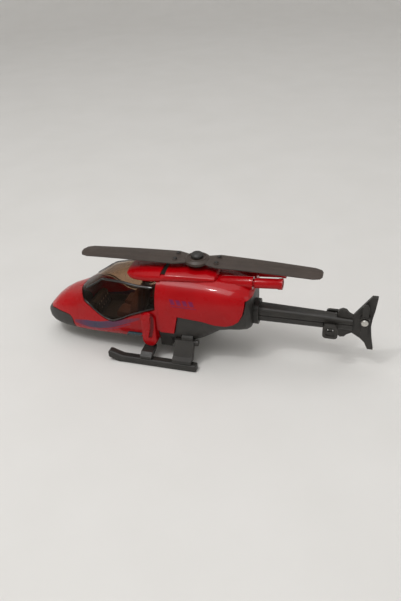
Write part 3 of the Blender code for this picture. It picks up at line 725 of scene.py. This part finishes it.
def intake_route():
    """Points over the cowling from side to side at the intake, with their across and up vectors."""
    tree = surface_tree("engine_cowling")
    centre = Vector((INTAKE_X, 0.0, COWLING_AXIS_Z)) * MM
    path = []
    for i in range(INTAKE_STEPS + 1):
        angle = math.radians(INTAKE_SWEEP[0] + (INTAKE_SWEEP[1] - INTAKE_SWEEP[0]) * i / INTAKE_STEPS)
        out = Vector((0.0, math.cos(angle), math.sin(angle)))
        found = tree.ray_cast(centre + out * OVER_SURFACE, -out)[0]
        if found is not None:
            path.append(found)
    path = evened(path, 3)
    forward = Vector((1.0, 0.0, 0.0))
    return path, [(forward * MM, tangent.cross(forward).normalized() * MM) for tangent in tangents(path)]


def intake_tool():
    """The slot to be cut across the cowling, run out past both ends of its route."""
    path, frames = intake_route()
    a, b = INTAKE_HALF_WIDTH, INTAKE_DEPTH
    first = path[0] + INTAKE_OVERRUN * (path[0] - path[1])
    last = path[-1] + INTAKE_OVERRUN * (path[-1] - path[-2])
    profile = ((-a, -b), (a, -b), (a, b), (-a, b))
    frames = [frames[0], *frames, frames[-1]]
    return swept("intake", [first, *path, last], frames, profile, [1.0] * len(frames))


def intake_grille():
    """The dark ribbed bottom of the cowling's intake slot."""
    path, frames = intake_route()
    mesh = swept("intake_grille", path, frames, GRILLE_PROFILE, [1.0] * len(path))
    piece("intake_grille", mesh, "black_plastic", BODY_OF["engine_cowling"])


# ---- everything that stands for a CAD node

FAIRING_GROOVE = ((15.9, 21.0), (16.0, 17.8), (16.4, 14.2), (17.4, 10.6))
FAIRING_FACE_Y = 14.3
GROOVE_HALF_WIDTH = 0.9
GROOVE_DEPTH = 0.6
EDGE = {"body_shell": 0.00022, "engine_cowling": 0.0003, "canopy": 0.00012}
USUAL_EDGE = 0.00015


def fairing_tools(side):
    """The groove to be cut in one fairing's outer face."""
    route = [(x, side * FAIRING_FACE_Y, z) for x, z in FAIRING_GROOVE]
    return [groove(route, GROOVE_HALF_WIDTH * MM, GROOVE_DEPTH * MM, (0, side, 0))]


def all_nodes():
    """A finished piece for each CAD node."""
    tools = {
        "gear_fairing_left": fairing_tools(1),
        "gear_fairing_right": fairing_tools(-1),
        "engine_cowling": [intake_tool()],
    }
    for node in NODES:
        finished(node, EDGE.get(node, USUAL_EDGE), tools.get(node, ()))


all_nodes()
canopy_ribs()
dials()
rotor_fittings()
intake_grille()


# ---- floor, light, camera

FLOOR_DISC = 0.25
FLOOR_REACH = 0.75
FLOOR_SIDES = 72
SWEEP_RADIUS = 0.4
WALL_TOP = 1.0
SWEEP_STEPS = 10
WORLD_STRENGTH = 0.6


def floor():
    """A pale floor that curves up into a round wall, open above."""
    profile = [(FLOOR_DISC, 0.0), (FLOOR_REACH, 0.0)]
    for i in range(1, SWEEP_STEPS + 1):
        angle = math.pi / 2 * i / SWEEP_STEPS
        profile.append((FLOOR_REACH + SWEEP_RADIUS * math.sin(angle), SWEEP_RADIUS * (1 - math.cos(angle))))
    profile.append((FLOOR_REACH + SWEEP_RADIUS, WALL_TOP))
    count = FLOOR_SIDES
    points = [(0.0, 0.0, 0.0)]
    for radius, height in profile:
        for i in range(count):
            angle = math.tau * i / count
            points.append((radius * math.cos(angle), radius * math.sin(angle), height))
    faces = [(0, 1 + i, 1 + (i + 1) % count) for i in range(count)]
    for ring in range(len(profile) - 1):
        low = 1 + ring * count
        for i in range(count):
            j = (i + 1) % count
            faces.append((low + i, low + count + i, low + count + j, low + j))
    mesh = bpy.data.meshes.new("floor")
    mesh.from_pydata(points, [], faces)
    mesh.shade_smooth()
    made = new_material("floor_paper")
    n = Nodes(made)
    colour = n.mix(n.noise(30.0, 4.0), rgb(214, 212, 208), rgb(222, 220, 217))
    shader = n.add("ShaderNodeBsdfPrincipled", Roughness=0.7, **{"Base Color": colour})
    n.output(shader.outputs[0])
    mesh.materials.append(made)
    obj = bpy.data.objects.new("floor", mesh)
    bpy.context.scene.collection.objects.link(obj)


def direction(azimuth, elevation):
    """The way from the model to something at a compass angle and a height angle, in degrees."""
    a, e = math.radians(azimuth), math.radians(elevation)
    return Vector((math.sin(a) * math.cos(e), -math.cos(a) * math.cos(e), math.sin(e)))


def area_light(name, azimuth, elevation, distance, size, power):
    """A rectangular light aimed at the model."""
    data = bpy.data.lights.new(name, "AREA")
    data.shape = "RECTANGLE"
    data.size, data.size_y = size
    data.energy = power
    obj = bpy.data.objects.new(name, data)
    bpy.context.scene.collection.objects.link(obj)
    away = direction(azimuth, elevation)
    obj.location = CENTRE + distance * away
    obj.rotation_mode = "QUATERNION"
    obj.rotation_quaternion = (-away).to_track_quat("-Z", "Y")


def camera():
    """The camera, aimed at the model's centre and rolled about its line of sight."""
    data = bpy.data.cameras.new("camera")
    data.lens = CAMERA_LENS
    data.clip_start, data.clip_end = 0.01, 20.0
    obj = bpy.data.objects.new("camera", data)
    bpy.context.scene.collection.objects.link(obj)
    away = direction(CAMERA_AZIMUTH, CAMERA_ELEVATION)
    obj.location = CENTRE + CAMERA_DISTANCE * away
    aim = (-away).to_track_quat("-Z", "Y").to_matrix()
    obj.rotation_mode = "QUATERNION"
    obj.rotation_quaternion = (aim @ Matrix.Rotation(math.radians(CAMERA_ROLL), 3, "Z")).to_quaternion()
    bpy.context.scene.camera = obj


def world():
    """An even white surround."""
    made = bpy.data.worlds.new("studio")
    made.use_nodes = True
    background = made.node_tree.nodes["Background"]
    background.inputs["Color"].default_value = (1.0, 1.0, 1.0, 1.0)
    background.inputs["Strength"].default_value = WORLD_STRENGTH
    bpy.context.scene.world = made


floor()
camera()
world()
area_light("key", 160.0, 65.0, 0.7, (0.4, 0.3), 1.6)
area_light("glint", 148.0, 62.0, 0.6, (0.045, 0.03), 0.45)
area_light("top", 20.0, 80.0, 0.8, (0.5, 0.5), 0.9)
area_light("fill", 245.0, 30.0, 0.8, (0.4, 0.3), 0.5)
bpy.context.scene.view_settings.view_transform = "Standard"
